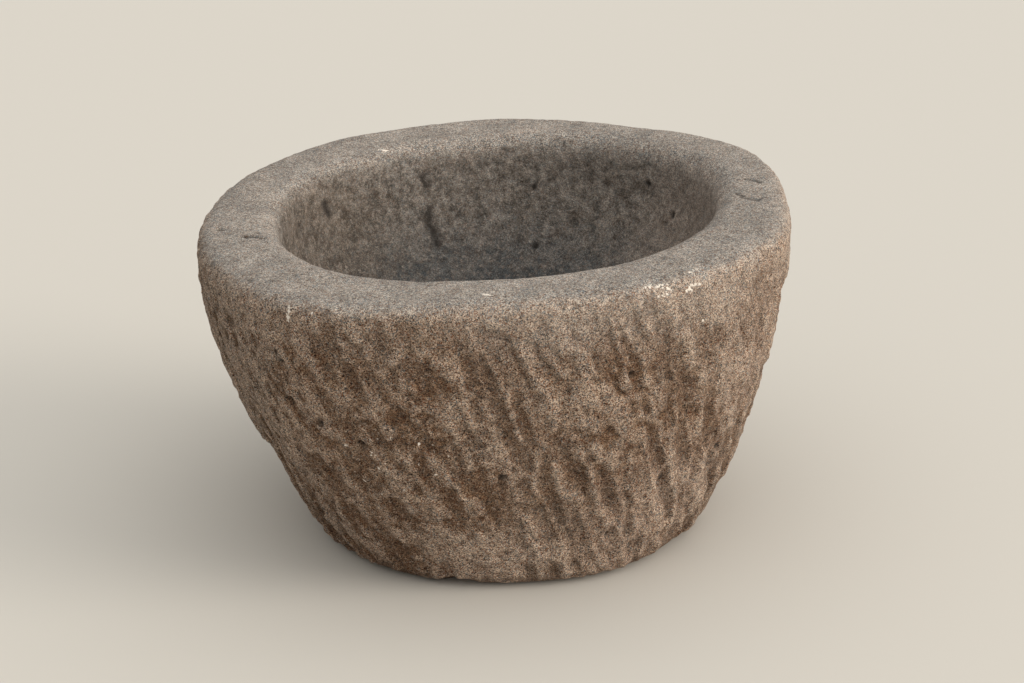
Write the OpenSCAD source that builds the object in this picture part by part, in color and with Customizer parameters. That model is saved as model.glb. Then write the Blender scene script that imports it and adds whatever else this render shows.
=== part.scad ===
// Stone mortar: a deep, thick-walled bowl carved by hand out of one block of volcanic stone.
// Millimetres. +Z is up, +X is to the right and the front faces -Y.
// The origin is in the middle of the rim's width and depth, on the face that the mortar stands on.

/* [Rim] */
// Width over the rim, left to right
rim_width = 300; // [240:1:380]
// Depth over the rim, front to back
rim_depth = 306; // [240:1:380]
// Height of the middle of the rim above the foot
height = 165; // [130:1:230]
// How much higher the rim is at the right than at the left
rise_right = 13; // [0:1:20]
// How much higher the rim is at the back than at the front
rise_back = 7; // [0:1:20]
// Radius of the rim's worn outer edge
outer_edge = 9; // [4:1:12]
// Radius of the rim's worn inner edge
inner_edge = 12; // [4:1:16]

/* [Foot] */
// Width of the foot, before its edge is rounded
foot_width = 196; // [150:1:230]
// Depth of the foot, before its edge is rounded
foot_depth = 200; // [150:1:230]
// How far the foot is off centre, to the right
foot_right = 12; // [-20:1:20]
// How far the foot is off centre, to the front
foot_front = 14; // [-20:1:20]
// Radius of the foot's rounded edge
foot_edge = 9; // [4:1:14]

/* [Wall] */
// How full the outer wall is: 1 is a straight cone and more is rounder
fullness = 1.7; // [1.2:0.1:2.4]
// Thickness of the wall at the rim, left side
wall_left = 41; // [28:1:55]
// Thickness of the wall at the rim, right side
wall_right = 36; // [28:1:55]
// Thickness of the wall at the rim, front
wall_front = 43; // [28:1:55]
// Thickness of the wall at the rim, back
wall_back = 45; // [28:1:55]

/* [Hollow] */
// Thickness of the stone under the lowest point of the hollow
floor_thickness = 55; // [35:1:70]
// How full the hollow is: 2 is a plain round bowl, more is steeper with a flatter floor
hollow_fullness = 2.3; // [2:0.1:3]

/* [Hand carving] */
// How uneven the outlines are, as the carver left them: 0 is a set of true ovals
unevenness = 1; // [0:0.1:1.2]

/* [Hidden] */

// How far each outline stands out of its oval at the twelve hours of a clock face,
// going left about from the right-hand side: 3 is the back, 6 the left and 9 the front.
rim_bumps = [0, 8, -2, 0, 2, 1, 0, 7, 11, -4, -1, 5];
foot_bumps = [-3, -1, 0, 0, 0, 0, -2, 5, 8, 3, 0, -4];
opening_bumps = [0, 7, 4, 0, -2, 0, 0, 3, 6, 0, 0, -2];

sides = 72;
wall_rings = 14;
edge_rings = 5;
hollow_rings = 12;
// How the rim's slope fades towards the foot: 1 would be even, more keeps it near the rim
slope_fade = 1.5;
// Depth of the spare stone under the foot, which is cut off flat
spare = 5;

wall_top = height - outer_edge;
hollow_depth = height - floor_thickness;
foot_centre = [foot_right, -foot_front];
opening_centre = [(wall_left - wall_right) / 2, (wall_front - wall_back) / 2];

// A smooth closed curve through the values, read at any angle
function around(values, angle) =
    let (n = len(values), u = angle / 360 * n, i = floor(u), t = u - i,
         a = values[(i + n - 1) % n], b = values[i % n],
         c = values[(i + 1) % n], d = values[(i + 2) % n])
    b + t * ((c - a) + t * ((2 * a - 5 * b + 4 * c - d) + t * (3 * b - a - 3 * c + d))) / 2;

// An oval with bumps, before it is brought to its size
function rough_oval(width, depth, bumps) =
    [for (k = [0 : sides - 1])
        let (angle = 360 * k / sides, bump = unevenness * around(bumps, angle))
        [(width / 2 + bump) * cos(angle), (depth / 2 + bump) * sin(angle)]];

// The same outline, exactly width by depth and centred on the given point
function fitted(outline, width, depth, centre) =
    let (xs = [for (p = outline) p[0]], ys = [for (p = outline) p[1]],
         x_low = min(xs), x_high = max(xs), y_low = min(ys), y_high = max(ys))
    [for (p = outline)
        [centre[0] + (p[0] - (x_low + x_high) / 2) * width / (x_high - x_low),
         centre[1] + (p[1] - (y_low + y_high) / 2) * depth / (y_high - y_low)]];

// A hand-carved outline of the given size
function carved(width, depth, bumps, centre) =
    fitted(rough_oval(width, depth, bumps), width, depth, centre);

rim_outline = carved(rim_width, rim_depth, rim_bumps, [0, 0]);
foot_outline = carved(foot_width, foot_depth, foot_bumps, foot_centre);
opening_outline = carved(rim_width - wall_left - wall_right, rim_depth - wall_front - wall_back,
                         opening_bumps, opening_centre);

// How far the outer wall has widened from the foot to the rim, 0 to 1, at height z
function widened(z) = 1 - pow(1 - min(max(z, 0) / wall_top, 1), fullness);

// Where the middle of the block is at height z: over the foot below, over the origin at the rim
function middle(z) = foot_centre * (1 - widened(z));

// An outline drawn in towards its centre by a distance, or out if the distance is negative
function drawn_in(outline, centre, distance) =
    [for (p = outline) centre + (p - centre) * (1 - distance / norm(p - centre))];

// The block's outline at height z
function wall_outline(z) =
    foot_outline * (1 - widened(z)) + rim_outline * widened(z);

// An outline lifted to height z, on the slope that the rim has
function lifted(outline, z) =
    let (slope = pow(max(z, 0) / height, slope_fade))
    [for (p = outline)
        [p[0], p[1], z + slope * (rise_right * p[0] / rim_width + rise_back * p[1] / rim_depth)]];

// A ring of the outer wall at height z, drawn in where an edge is rounded
function outer_ring(z, inset) =
    lifted(drawn_in(wall_outline(z), middle(z), inset), z);

// A ring of the hollow at a depth below the rim: the opening's outline drawn in, then shrunk
function hollow_ring(depth, inset, share) =
    let (z = height - depth, centre = opening_centre + middle(z))
    lifted([for (p = drawn_in(opening_outline, opening_centre, inset))
                centre + (p - opening_centre) * share], z);

spare_ring = [[for (p = outer_ring(0, foot_edge)) p - [0, 0, spare]]];
foot_rings = [for (k = [0 : edge_rings - 1]) let (a = 90 * k / edge_rings)
    outer_ring(foot_edge * (1 - cos(a)), foot_edge * (1 - sin(a)))];
side_rings = [for (k = [0 : wall_rings])
    outer_ring(foot_edge + (wall_top - foot_edge) * k / wall_rings, 0)];
outer_edge_rings = [for (k = [1 : edge_rings]) let (a = 90 * k / edge_rings)
    outer_ring(wall_top + outer_edge * sin(a), outer_edge * (1 - cos(a)))];
inner_edge_rings = [for (k = [0 : edge_rings]) let (a = 90 * k / edge_rings)
    hollow_ring(inner_edge * (1 - cos(a)), -inner_edge * (1 - sin(a)), 1)];
// The hollow's wall and floor are one curve, upright under the rim and level in the middle
bowl_power = 2 / hollow_fullness;
bowl_rings = [for (k = [1 : hollow_rings - 1])
    let (a = 90 * k / hollow_rings, drop = (hollow_depth - inner_edge) * pow(sin(a), bowl_power))
    hollow_ring(inner_edge + drop, 0, pow(cos(a), bowl_power))];

rings = concat(spare_ring, foot_rings, side_rings, outer_edge_rings,
               inner_edge_rings, bowl_rings);
floor_middle = lifted([opening_centre + middle(floor_thickness)], floor_thickness);

// Points of the rings in order, then the one point in the middle of the hollow's floor
skin_points = concat([for (ring = rings) each ring], floor_middle);
skin_faces = concat(
    [[for (k = [0 : sides - 1]) k]],
    [for (r = [0 : len(rings) - 2]) for (k = [0 : sides - 1])
        let (low = r * sides, high = low + sides, next = (k + 1) % sides)
        each [[low + k, high + k, high + next], [low + k, high + next, low + next]]],
    [for (k = [0 : sides - 1])
        let (last = (len(rings) - 1) * sides)
        [last + k, len(rings) * sides, last + (k + 1) % sides]]);

module mortar() {
    color("#7f6e60")
    difference() {
        polyhedron(points = skin_points, faces = skin_faces, convexity = 4);
        translate([-rim_width, -rim_depth, -2 * spare])
            cube([2 * rim_width, 2 * rim_depth, 2 * spare]);
    }
}

mortar();
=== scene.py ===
"""A stone mortar, picked to shape out of one block of grey-brown basalt."""

from math import radians

import bmesh
import bpy
import numpy as np
from bpy.types import NodeSocket
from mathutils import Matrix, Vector


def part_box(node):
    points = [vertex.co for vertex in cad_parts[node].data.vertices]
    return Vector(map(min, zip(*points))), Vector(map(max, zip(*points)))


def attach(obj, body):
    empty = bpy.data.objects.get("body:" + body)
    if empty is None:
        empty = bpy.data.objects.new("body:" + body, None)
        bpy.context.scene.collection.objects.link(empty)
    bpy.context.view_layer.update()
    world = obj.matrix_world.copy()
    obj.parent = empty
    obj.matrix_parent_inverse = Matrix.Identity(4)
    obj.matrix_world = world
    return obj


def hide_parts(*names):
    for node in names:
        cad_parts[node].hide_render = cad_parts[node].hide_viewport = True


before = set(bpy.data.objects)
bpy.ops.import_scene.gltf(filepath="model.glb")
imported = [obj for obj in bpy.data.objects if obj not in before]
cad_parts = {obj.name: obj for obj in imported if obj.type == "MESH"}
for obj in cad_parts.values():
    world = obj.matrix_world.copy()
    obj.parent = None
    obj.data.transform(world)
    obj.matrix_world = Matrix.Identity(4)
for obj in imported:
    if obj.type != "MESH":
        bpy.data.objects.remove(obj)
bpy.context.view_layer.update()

MM = 0.001
SEED = 7

# Distance between the points of the stone's skin, mm: fine enough for a pit 2 mm across
SKIN = 1.05

# Rounds of smoothing: enough to take the remesher's steps off, and enough to wear the edges round
EVEN_ROUNDS = 6
WORN_ROUNDS = 45

low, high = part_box("mortar")
WIDTH = (high.x - low.x) / MM
DEPTH = (high.y - low.y) / MM
HEIGHT = (high.z - low.z) / MM
RIM_RADIUS = (WIDTH + DEPTH) / 4

# The pick's strokes on the wall: spacing around and up, half length and half width from least to
# most, all in mm, then how far they lean from upright and how much that varies, degrees
STROKE_GAP = 10.2
STROKE_RISE = 27
STROKE_HALF_LENGTH = (13, 26)
STROKE_HALF_WIDTH = (4.2, 6.4)
STROKE_LEAN = 23
LEAN_SPREAD = 8

# Smaller dents of the pick, then gas bubbles: spacing, radius from least to most, mm, and how
# many of the places have one
PICK_GAP, PICK_RADIUS, PICK_CHANCE = 7, (2.4, 5), 0.9
BUBBLE_GAP, BUBBLE_RADIUS, BUBBLE_CHANCE = 15, (1.3, 2.7), 0.16

# Width and length of the fine scratches, mm
SCRATCH_WIDTH, SCRATCH_LENGTH = 3.4, 13

# How deep each mark is pressed, mm
STROKE_DEPTH = 2.7
PICK_DEPTH = 1.1
SCRATCH_DEPTH = 0.9
BUBBLE_DEPTH = 1.3
CRACK_DEPTH = 0.9
STREAK_DEPTH = 0.5
HOLE_DEPTH = 1.8
LEDGE_DEPTH = 2.0
FLAT_DEPTH = 2.2
CHIP_DEPTH = 3.2

# Stone left standing between the strokes, mm, so that they are cut into the wall's true face
STANDING = 0.85

# Relief of this many mm from lowest to highest fills the stored range of 0 to 1
RELIEF_SPAN = 4

# Where the rim starts and is fully rim, as shares of the height
RIM_START, RIM_FULL = 0.78, 0.86

# Marks of age, in mm, each a line of places near the skin
RIM_CRACKS = [
    [(124, -6, 170), (127, -13, 170), (133, -19, 170), (137, -14, 171)],
    [(131, 18, 171), (137, 10, 171)],
    [(-139, -28, 158), (-135, -30, 158)],
    [(-122, -42, 159), (-114, -46, 159)],
]
HOLLOW_STREAKS = [
    [(-40, 97, 148), (-38, 97, 143)],
    [(-37, 95, 131), (-36, 94, 121), (-32, 91, 112)],
    [(-92, 55, 145), (-90, 58, 138)],
]
LIME_SPLASHES = [
    [(71, -132, 163), (78, -128, 163), (83, -128, 160)],
    [(77, -131, 158), (81, -129, 158)],
    [(91, -118, 165), (96, -114, 165)],
    [(91, -123, 159), (96, -120, 160)],
    [(-4, -139, 162), (-1, -140, 162)],
    [(99, -117, 141), (99, -117, 142)],
    [(-93, -135, 154), (-94, -136, 149)],
    [(-81, -141, 155), (-81, -141, 154)],
    [(-66, 97, 160), (-61, 98, 160)],
]

# Open pits, each at a place in mm near the skin
HOLES = [
    (-101, -127, 129), (-98, -129, 125), (-95, -125, 105), (-80, -132, 95), (-61, -139, 87),
    (5, -137, 69), (56, -114, 29), (66, -134, 120), (110, -83, 63),
    (21, 106, 139), (84, 81, 149), (96, 66, 135), (23, 96, 108),
    (-138, -28, 159), (-114, -46, 159), (-123, -42, 159),
]

# Specks of lime caught in the roughest part of the wall, as place and radius, mm
LIME_SPECKS = [((-46, -134, 80), 46)]

# Painted shade on the left, away from the window, and painted light on the right and low on the front, as
# place and radius, mm
PAINTED_SHADE_PLACES = [((-140, -60, 105), 100), ((-100, -100, 20), 40)]
PAINTED_LIGHT_PLACES = [((75, -95, 38), 62), ((0, -120, 15), 40), ((120, -70, 120), 60)]

# Inside, painted shade darkens the left and painted light makes the right paler
PAINTED_SHADE_INSIDE = [((-95, 40, 120), 75)]
PAINTED_LIGHT_INSIDE = [((100, 20, 120), 85)]

# Where hands rubbed the wall pale below the rim
RUBBED_BELT = [((60, -130, 150), 105), ((150, -10, 155), 70), ((20, 140, 150), 90)]

# Where the strokes are rubbed away: the left side and low on the front, as place and radius, mm
RUBBED = [((-125, -95, 110), 85), ((-8, -125, 18), 42)]

# A ledge where the left side split, a flat hewn above it, and a chip out of the front of the foot,
# in mm and degrees
LEDGE_ANGLE = 217
LEDGE_HEIGHT = 62
HEWN_FLAT = (-118, -88, 84)
FLAT_RADIUS = 38
CHIP = (-18, -116, 0)
CHIP_SIZE = (13, 14, 6)


# ---------------------------------------------------------------- shapes in numbers

def smooth_step(start, end, value):
    """0 before start, 1 after end, and smooth between them."""
    t = np.clip((value - start) / (end - start), 0, 1)
    return t * t * (3 - 2 * t)


def lumps(points, size, seed):
    """Smooth random lumps of about the given size in mm, from -1 to 1, at points in mm."""
    rng = np.random.default_rng(seed)
    cells = points / size
    cells = cells - np.floor(cells.min(0))
    table = rng.uniform(-1, 1, np.ceil(cells.max(0)).astype(int) + 2)
    whole = np.floor(cells).astype(int)
    part = cells - whole
    part = part * part * (3 - 2 * part)
    total = np.zeros(len(points))
    for corner in np.ndindex(2, 2, 2):
        share = np.prod(np.where(corner, part, 1 - part), axis=1)
        total += share * table[tuple((whole + corner).T)]
    return total


def crooked(points, size, reach, seed):
    """The points moved by up to reach mm, in lumps of the given size, so that what is laid on them
    comes out uneven."""
    moved = [lumps(points, size, seed + k) for k in range(3)]
    return points + reach * np.stack(moved, axis=1)


def dents(points, spacing, radius, chance, seed):
    """Round dents, one at most in each cell of the given spacing: 0 outside them to 1 at the deepest."""
    rng = np.random.default_rng(seed)
    cells = points / spacing
    cells = cells - np.floor(cells.min(0)) + 1
    shape = tuple(np.ceil(cells.max(0)).astype(int) + 2)
    place = rng.uniform(0.1, 0.9, shape + (3,))
    size = rng.uniform(*radius, shape) / spacing
    strength = rng.uniform(0.4, 1, shape) * (rng.uniform(0, 1, shape) < chance)
    whole = np.floor(cells).astype(int)
    deepest = np.zeros(len(points))
    for step in np.ndindex(3, 3, 3):
        cell = whole + step - 1
        index = tuple(cell.T)
        away = np.linalg.norm(cells - cell - place[index], axis=1) / size[index]
        deepest = np.maximum(deepest, strength[index] * np.clip(1 - away ** 2, 0, 1))
    return deepest


def strokes(around, up, girth, seed):
    """The pick's scoops on the wall: leaning grooves, row over row, that close on themselves at girth."""
    rng = np.random.default_rng(seed)
    columns = round(girth / STROKE_GAP)
    rows = round(HEIGHT / STROKE_RISE) + 6
    gap = girth / columns
    shape = (columns, rows)
    shift = rng.uniform(-0.35, 0.35, shape)
    rise = rng.uniform(-0.4, 0.4, shape)
    lean = np.radians(rng.normal(STROKE_LEAN, LEAN_SPREAD, shape))
    half_length = rng.uniform(*STROKE_HALF_LENGTH, shape)
    half_width = rng.uniform(*STROKE_HALF_WIDTH, shape)
    strength = rng.uniform(0.3, 1, shape)
    column = np.floor(around / gap).astype(int)
    row = np.floor(up / STROKE_RISE).astype(int) + 2
    deepest = np.zeros(len(around))
    for right, above in np.ndindex(5, 5):
        i = column + right - 2
        j = np.clip(row + above - 2, 0, rows - 1)
        index = (i % columns, j)
        x = around - (i + 0.5 + shift[index]) * gap
        y = up - (j - 2 + 0.5 + rise[index]) * STROKE_RISE
        along = (y * np.cos(lean[index]) - x * np.sin(lean[index])) / half_length[index]
        across = (x * np.cos(lean[index]) + y * np.sin(lean[index])) / half_width[index]
        scoop = np.clip(1 - across ** 2, 0, 1) * np.clip(1 - along ** 2, 0, 1) ** 0.7
        deepest = np.maximum(deepest, strength[index] * scoop)
    return deepest


def scratches(points, width, length, seed):
    """Fine broken lines that lean as the strokes do, 0 to 1."""
    turn = points[:, 2] * np.tan(np.radians(STROKE_LEAN)) / RIM_RADIUS
    x = points[:, 0] * np.cos(turn) - points[:, 1] * np.sin(turn)
    y = points[:, 0] * np.sin(turn) + points[:, 1] * np.cos(turn)
    stretched = np.stack([x, y, points[:, 2] * width / length], axis=1)
    return smooth_step(0.2, 0.65, lumps(stretched, width, seed))


def along_line(points, line, width):
    """1 on a line through the given points in mm, 0 at width from it and beyond."""
    nearest = np.full(len(points), 1e9)
    corners = np.array(line, float)
    for start, end in zip(corners[:-1], corners[1:]):
        step = end - start
        t = np.clip((points - start) @ step / (step @ step), 0, 1)
        nearest = np.minimum(nearest, np.linalg.norm(points - start - t[:, None] * step, axis=1))
    return np.clip(1 - nearest / width, 0, 1)


# ---------------------------------------------------------------- the block

def read(collection, name):
    """One vector for each point of a mesh."""
    values = np.zeros(len(collection) * 3)
    collection.foreach_get(name, values)
    return values.reshape(-1, 3)


def even_skin(node):
    """A copy of the CAD solid as an even skin of small faces, and where each point of it would lie
    if the edges were worn round."""
    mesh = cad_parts[node].data.copy()
    weld = bmesh.new()
    weld.from_mesh(mesh)
    bmesh.ops.remove_doubles(weld, verts=weld.verts, dist=0.01 * MM)
    weld.to_mesh(mesh)
    weld.free()
    stone = bpy.data.objects.new("carved_block", mesh)
    bpy.context.scene.collection.objects.link(stone)
    remesh = stone.modifiers.new("even_skin", "REMESH")
    remesh.mode = "VOXEL"
    remesh.voxel_size = SKIN * MM
    worn = stone.modifiers.new("worn", "SMOOTH")
    worn.factor = 0.5
    rounds = []
    for worn.iterations in (WORN_ROUNDS, EVEN_ROUNDS):
        settled = bpy.context.evaluated_depsgraph_get()
        stone_now = bpy.data.meshes.new_from_object(stone.evaluated_get(settled))
        rounds.append(stone_now)
    worn_points = read(rounds[0].vertices, "co") / MM
    stone.data = rounds[1]
    stone.modifiers.clear()
    return stone, worn_points


def regions(points, normals):
    """Shares, 0 to 1, of the rim, the hollow, the tooled wall and the underside at each point, and
    whether it lies inside the crest of the rim."""
    radial = points[:, :2] / np.linalg.norm(points[:, :2], axis=1)[:, None]
    outward = np.einsum("ij,ij->i", normals[:, :2], radial)
    up = normals[:, 2]
    high_up = smooth_step(RIM_START, RIM_FULL, points[:, 2] / HEIGHT)
    rim = smooth_step(0.6, 0.93, up) * high_up
    floor = smooth_step(0.0, 0.3, up) * (1 - high_up)
    inner = np.maximum(smooth_step(0.1, -0.1, outward) * smooth_step(-0.6, -0.3, up), floor)
    under = smooth_step(-0.8, -0.97, up)
    hollow = inner * (1 - rim)
    wall = np.clip(1 - rim - hollow - under, 0, 1)
    return rim, hollow, wall, under, inner


def around_places(points, places, seed):
    """1 at the given places, fading unevenly to 0 at their radius."""
    ragged = crooked(points, 22, 9, seed)
    return np.max([smooth_step(1, 0.35, np.linalg.norm(ragged - place, axis=1) / radius)
                   for place, radius in places], axis=0)


def on_skin(points, place):
    """The point of the skin nearest to a place in mm."""
    return points[np.argmin(np.linalg.norm(points - place, axis=1))]


def scar_the_stone(points):
    """The marks this mortar has picked up: cracks across the rim, dark streaks, holes, splashed lime,
    a ledge on the left, a flat above it and a chip out of the foot."""
    uneven = crooked(points, 3.5, 1.3, SEED + 60)
    less_uneven = crooked(points, 3.5, 0.7, SEED + 64)

    def drawn(lines, width, where=uneven):
        # Each place is lifted a little more than the last, so that no two fall on one point
        snapped = [[on_skin(points, place) + (0, 0, 0.1 * k) for k, place in enumerate(line)]
                   for line in lines]
        return np.max([along_line(where, line, width) for line in snapped], axis=0)

    cracks = drawn(RIM_CRACKS, 2.0)
    streaks = drawn(HOLLOW_STREAKS, 3.8)
    holes = drawn([[hole, np.add(hole, (0, 0, 0.5))] for hole in HOLES], 2.2, less_uneven)
    specks = 1.25 * dents(points, 4, (1.0, 1.6), 0.6, SEED + 66)
    specks = specks * around_places(points, LIME_SPECKS, SEED + 67)
    lime = np.maximum(drawn(LIME_SPLASHES, 2.3), specks)
    angle = np.degrees(np.arctan2(points[:, 1], points[:, 0]))
    off_ledge = np.abs(np.mod(angle - LEDGE_ANGLE + 180, 360) - 180)
    ledge = (smooth_step(LEDGE_HEIGHT, LEDGE_HEIGHT - 1.5, points[:, 2])
             * smooth_step(25, 50, points[:, 2]) * smooth_step(22, 10, off_ledge))
    flat = smooth_step(1, 0, np.linalg.norm(points - HEWN_FLAT, axis=1) / FLAT_RADIUS)
    chip = np.clip(1 - (((points - CHIP) / CHIP_SIZE) ** 2).sum(1), 0, 1)
    depth = (CRACK_DEPTH * cracks + STREAK_DEPTH * streaks + HOLE_DEPTH * np.sqrt(holes)
             + LEDGE_DEPTH * ledge + FLAT_DEPTH * flat)
    # The holes' mask later darkens them: painted shade in the holes
    return {"depth": depth, "chip": CHIP_DEPTH * np.sqrt(chip),
            "crack": np.maximum(cracks, 1.2 * streaks), "hole": holes * 1.4, "lime": lime}


def work_the_stone(stone, worn_points):
    """Presses wear, tool marks, dents and pits into the skin, and keeps each for the finish."""
    mesh = stone.data
    points = read(mesh.vertices, "co") / MM
    normals = read(mesh.vertex_normals, "vector")
    height = points[:, 2]
    above_foot = smooth_step(0.3, 6, height)

    wear = np.clip(0.15 + 0.6 * lumps(points, 42, SEED), 0, 1) * above_foot
    points = points + (worn_points - points) * wear[:, None]
    rim, hollow, wall, under, inner = regions(points, normals)

    ragged = crooked(crooked(points, 9, 1.2, SEED + 10), 3.5, 0.6, SEED + 13)
    girth = 2 * np.pi * RIM_RADIUS
    around = np.mod(np.arctan2(ragged[:, 1], ragged[:, 0]), 2 * np.pi) * RIM_RADIUS
    grooves = strokes(around, ragged[:, 2], girth, SEED + 20)
    below_rim = smooth_step(HEIGHT - 10, HEIGHT - 40, height)
    patchy = np.clip(0.85 + 0.6 * lumps(points, 50, SEED + 21), 0.3, 1.3)
    patchy *= 1 - 0.7 * around_places(points, RUBBED, SEED + 22)
    grooves = grooves * wall * below_rim * patchy

    scored = scratches(crooked(points, 5, 1.0, SEED + 26), SCRATCH_WIDTH, SCRATCH_LENGTH, SEED + 27)
    bent = crooked(points, 5, 1.4, SEED + 30)
    picks = dents(bent, PICK_GAP, PICK_RADIUS, PICK_CHANCE, SEED + 31)
    bent = crooked(points, 3, 0.8, SEED + 40)
    bubbles = dents(bent, BUBBLE_GAP, BUBBLE_RADIUS, BUBBLE_CHANCE, SEED + 41) ** 1.5

    swell = 1.1 * lumps(points, 48, SEED + 2) + 0.5 * lumps(points, 20, SEED + 3)
    rough = 0.36 * lumps(points, 7.5, SEED + 4) + 0.3 * lumps(points, 3.6, SEED + 5)
    rough += 0.4 * (0.4 - np.abs(lumps(points, 4.8, SEED + 7))) + 0.16 * lumps(points, 2.1, SEED + 6)
    roughness = wall * (0.5 + 0.5 * below_rim) + 0.3 * rim + 0.5 * hollow
    relief = roughness * (rough + 0.35 - PICK_DEPTH * picks - SCRATCH_DEPTH * wall * scored)
    relief = relief + wall * STANDING - STROKE_DEPTH * grooves
    scars = scar_the_stone(points)
    lift = (wall + 0.6 * rim + 0.7 * hollow) * swell + relief - BUBBLE_DEPTH * bubbles
    lift = lift - scars.pop("depth")
    lift = np.where(under > 0.5, np.minimum(0.3 * rough, 0), lift * above_foot) - scars.pop("chip")
    points = points + normals * lift[:, None]
    points[:, 2] = np.maximum(points[:, 2], 0)
    mesh.vertices.foreach_set("co", (points * MM).ravel())

    belt = smooth_step(HEIGHT - 48, HEIGHT - 14, height + 6 * lumps(points, 14, SEED + 50)) * wall
    belt *= 0.15 + 0.75 * around_places(points, RUBBED_BELT, SEED + 57)
    worn_rim = smooth_step(0.15, 0.9, normals[:, 2] + 0.3 * lumps(points, 5, SEED + 58))
    worn_rim = worn_rim * smooth_step(RIM_START, RIM_FULL, height / HEIGHT)
    # Painted shade on the left outside and inside, and painted light on the right and low front outside
    # and on the right inside
    painted_shade = wall * around_places(points, PAINTED_SHADE_PLACES, SEED + 51)
    painted_shade = painted_shade + 0.7 * hollow * around_places(points, PAINTED_SHADE_INSIDE, SEED + 51)
    pale = wall * around_places(points, PAINTED_LIGHT_PLACES, SEED + 54)
    pale = pale + hollow * around_places(points, PAINTED_LIGHT_INSIDE, SEED + 54)
    kept = {"rim": worn_rim, "inner": inner, "belt": belt, "relief": 0.5 + relief / RELIEF_SPAN,
            # Masks for painted shade: dark in the pits and holes, and darker lower in the hollow
            "painted_pit_shade": bubbles + scars.pop("hole"), "deep": hollow * smooth_step(0.8, 0.5, height / HEIGHT),
            "painted_shade": painted_shade, "pale": pale, **scars}
    for name, values in kept.items():
        attribute = mesh.attributes.new(name, "FLOAT", "POINT")
        attribute.data.foreach_set("value", np.clip(values, 0, 1).astype(np.float32))
    mesh.polygons.foreach_set("use_smooth", np.ones(len(mesh.polygons), bool))
    mesh.update()


# ---------------------------------------------------------------- finishes

def linear(colour):
    """An sRGB hex colour as the linear values that a shader works in."""
    parts = [int(colour[k:k + 2], 16) / 255 for k in (1, 3, 5)]
    return [p / 12.92 if p <= 0.04045 else ((p + 0.055) / 1.055) ** 2.4 for p in parts] + [1.0]


def add(tree, kind, inputs=None, **settings):
    """Adds a node with its settings; an input is a value, or another node's output to link."""
    made = tree.nodes.new(kind)
    for name, value in settings.items():
        setattr(made, name, value)
    for name, value in (inputs or {}).items():
        if isinstance(value, NodeSocket):
            tree.links.new(value, made.inputs[name])
        else:
            made.inputs[name].default_value = value
    return made


def new_material(name):
    """An empty material and its node tree."""
    material = bpy.data.materials.new(name)
    material.use_nodes = True
    material.node_tree.nodes.clear()
    return material, material.node_tree


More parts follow.
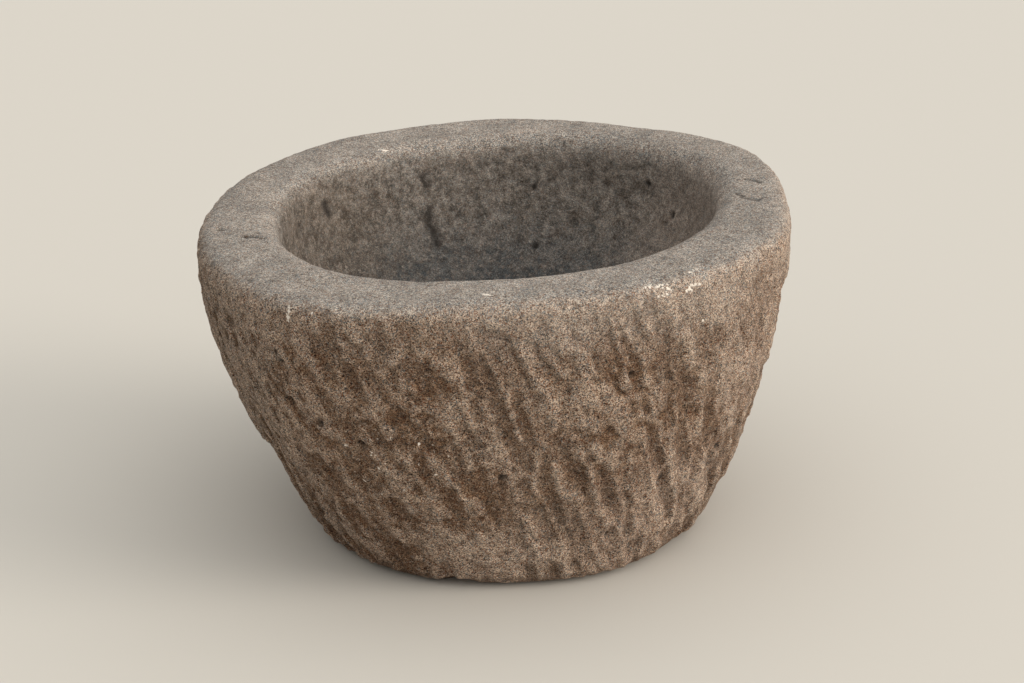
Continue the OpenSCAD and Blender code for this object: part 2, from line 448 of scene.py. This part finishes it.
def pecked_basalt():
    """Grey-brown basalt, picked to shape: matt, with a salt-and-pepper grain of dark pyroxene, rusty
    olivine and pale feldspar, a painted highlight on the high spots and painted shade in the grooves."""
    material, tree = new_material("pecked_basalt")
    place = add(tree, "ShaderNodeTexCoord").outputs["Object"]

    def noise(size, detail=2.0, roughness=0.5):
        return add(tree, "ShaderNodeTexNoise",
                   {"Vector": place, "Scale": 1 / (size * MM), "Detail": detail,
                    "Roughness": roughness}).outputs["Fac"]

    def marked(name, share=1.0):
        value = add(tree, "ShaderNodeAttribute", attribute_name=name).outputs["Fac"]
        return add(tree, "ShaderNodeMath", {0: value, 1: share}, operation="MULTIPLY").outputs[0]

    def level(value, start, end, top=1.0):
        return add(tree, "ShaderNodeMapRange", {"Value": value, "From Min": start, "From Max": end,
                                                "To Max": top}).outputs["Result"]

    def over(share, under, colour, mode="MIX"):
        colour = linear(colour) if isinstance(colour, str) else colour
        return add(tree, "ShaderNodeMix", {0: share, 6: under, 7: colour}, data_type="RGBA",
                   blend_type=mode).outputs[2]

    def shades(value, *stops, interpolation="LINEAR"):
        made = add(tree, "ShaderNodeValToRGB", {"Fac": value})
        row = made.color_ramp
        row.interpolation = interpolation
        while len(row.elements) < len(stops):
            row.elements.new(1.0)
        for stop, (position, colour) in zip(row.elements, stops):
            stop.position = position
            stop.color = linear(colour)
        return made.outputs["Color"]

    wall = shades(noise(13, 4, 0.65), (0.3, "#594737"), (0.5, "#6c5847"), (0.7, "#807061"))
    wall = over(level(noise(45, 2), 0.45, 0.65, 0.6), wall, "#877b70")
    rim = shades(noise(16, 4, 0.6), (0.3, "#858583"), (0.7, "#aaa8a4"))
    hollow = shades(noise(6, 6, 0.8), (0.36, "#494641"), (0.48, "#75716c"), (0.64, "#9f9c97"))
    stone = over(marked("belt", 0.75), wall, "#a39c95")
    stone = over(marked("inner"), stone, hollow)
    # Painted shade: darker and bluer lower down in the hollow
    stone = over(marked("deep", 0.85), stone, "#4a5156")
    stone = over(marked("rim"), stone, rim)
    # Painted shade on the left, then painted light on the right
    stone = over(marked("painted_shade", 0.68), stone, "#493e31")
    stone = over(marked("pale", 0.4), stone, "#b6aaa0")
    relief = marked("relief")
    # Painted shade in the grooves of the relief, and a painted highlight on its high spots
    stone = over(level(relief, 0.46, 0.05, 0.35), stone, "#473427")
    stone = over(level(relief, 0.5, 0.74, 0.52), stone, "#b2a79c")
    stone = over(level(noise(4, 2), 0.5, 0.72, 0.45), stone, "#4f443b")
    stone = over(level(noise(2.2, 2), 0.52, 0.7, 0.4), stone, "#a69d95")

    # The grains are about 0.3 mm across in the stone, drawn at 0.45 mm so that they show
    grains = add(tree, "ShaderNodeTexVoronoi", {"Vector": place, "Scale": 1 / (0.45 * MM)})
    which = add(tree, "ShaderNodeSeparateColor", {0: grains.outputs["Color"]}).outputs[0]
    speckle = shades(which, (0.0, "#3f3734"), (0.12, "#906a52"), (0.26, "#88929a"), (0.42, "#aca29a"),
                     (0.66, "#cec3b8"), (0.84, "#f2eae0"), interpolation="CONSTANT")
    polish = over(marked("belt"), linear("#ffffff"), "#e6e6e6")
    polish = over(marked("rim"), over(marked("inner"), polish, "#c8c8c8"), "#e8e8e8")
    stone = over(polish, stone, over(1.0, stone, speckle, "OVERLAY"))
    stone = over(marked("crack", 0.85), stone, "#2a2522")
    # Painted shade in the pits and holes
    stone = over(marked("painted_pit_shade", 0.9), stone, "#1f1a16")
    lime = add(tree, "ShaderNodeMath", {0: marked("lime"), 1: level(noise(1.6, 2), 0.4, 0.6)},
               operation="MULTIPLY").outputs[0]
    stone = over(level(lime, 0.28, 0.48), stone, "#e6dccf")

    # Grit under a fingertip, and crumbs broken out between the strokes, 2.5 mm across
    grit = add(tree, "ShaderNodeMath", {0: which, 1: 0.4, 2: noise(0.8, 3, 0.6)},
               operation="MULTIPLY_ADD").outputs[0]
    crumbs = add(tree, "ShaderNodeMath", {0: noise(2.5, 5, 0.6), 1: 1.8, 2: grit},
                 operation="MULTIPLY_ADD").outputs[0]
    bump = add(tree, "ShaderNodeBump", {"Strength": 0.7, "Distance": 0.4 * MM, "Height": crumbs})
    shader = add(tree, "ShaderNodeBsdfPrincipled",
                 {"Base Color": stone, "Roughness": 0.93, "Specular IOR Level": 0.3,
                  "Normal": bump.outputs["Normal"]})
    add(tree, "ShaderNodeOutputMaterial", {"Surface": shader.outputs[0]})
    return material


def plain_paper(colour):
    """Matt studio paper."""
    material, tree = new_material("studio_paper")
    shader = add(tree, "ShaderNodeBsdfPrincipled", {"Base Color": linear(colour), "Roughness": 0.9})
    add(tree, "ShaderNodeOutputMaterial", {"Surface": shader.outputs[0]})
    return material


# ---------------------------------------------------------------- studio

# Where the camera stands, m, how far it looks down from level, degrees, and its lens, mm
CAMERA_PLACE = (0.0094, -1.1189, 0.5054)
LOOKING_DOWN = 20.5
LENS = 80

# Glow of the room from level up to the ceiling, and of the wall behind the mortar
LEVEL_GLOW, CEILING_GLOW, BACKDROP_GLOW = 0.25, 1.6, 0.75

# Strength of the window, how wide it looks, degrees, and where its light heads
WINDOW_STRENGTH = 1.9
WINDOW_SPREAD = 32
WINDOW_HEADING = (-2.7, 0.6, -0.85)

def pale_floor():
    """A plain pale floor under the mortar."""
    bpy.ops.mesh.primitive_plane_add(size=12, location=(0, 0, 0))
    floor = bpy.context.object
    floor.name = "floor"
    floor.data.materials.append(plain_paper("#cdc9c1"))


def lights():
    """A pale room lit softly from above, and a wide window low on the right."""
    world = bpy.data.worlds.new("pale_room")
    world.use_nodes = True
    tree = world.node_tree
    towards = add(tree, "ShaderNodeTexCoord").outputs["Generated"]
    ceiling = Vector((0.25, -0.15, 0.95)).normalized()
    facing = add(tree, "ShaderNodeVectorMath", {0: towards, 1: ceiling}, operation="DOT_PRODUCT")
    strength = add(tree, "ShaderNodeMapRange",
                   {"Value": facing.outputs["Value"], "From Min": 0.0, "From Max": 1.0,
                    "To Min": LEVEL_GLOW, "To Max": CEILING_GLOW}).outputs["Result"]
    seen = add(tree, "ShaderNodeLightPath").outputs["Is Camera Ray"]
    wall_seen = add(tree, "ShaderNodeMix", {0: seen, 2: strength, 3: BACKDROP_GLOW}).outputs[0]
    tree.links.new(wall_seen, tree.nodes["Background"].inputs["Strength"])
    tree.nodes["Background"].inputs["Color"].default_value = linear("#f2f0ec")
    bpy.context.scene.world = world

    window = bpy.data.lights.new("window", "SUN")
    window.energy = WINDOW_STRENGTH
    window.angle = radians(WINDOW_SPREAD)
    window.color = linear("#fff6ea")[:3]
    made = bpy.data.objects.new("window", window)
    made.rotation_euler = Vector(WINDOW_HEADING).to_track_quat("-Z", "Y").to_euler()
    bpy.context.scene.collection.objects.link(made)


def camera():
    """A long lens in front of the mortar, looking down on it a little."""
    lens = bpy.data.cameras.new("camera")
    lens.lens = LENS
    lens.sensor_width = 36
    made = bpy.data.objects.new("camera", lens)
    made.location = CAMERA_PLACE
    made.rotation_euler = (radians(90 - LOOKING_DOWN), 0, 0)
    bpy.context.scene.collection.objects.link(made)
    bpy.context.scene.camera = made
    bpy.context.scene.view_settings.view_transform = "Standard"


# ---------------------------------------------------------------- assembly

camera()
stone, worn_points = even_skin("mortar")
work_the_stone(stone, worn_points)
stone.data.materials.clear()
stone.data.materials.append(pecked_basalt())
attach(stone, "root")
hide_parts("mortar")
pale_floor()
lights()
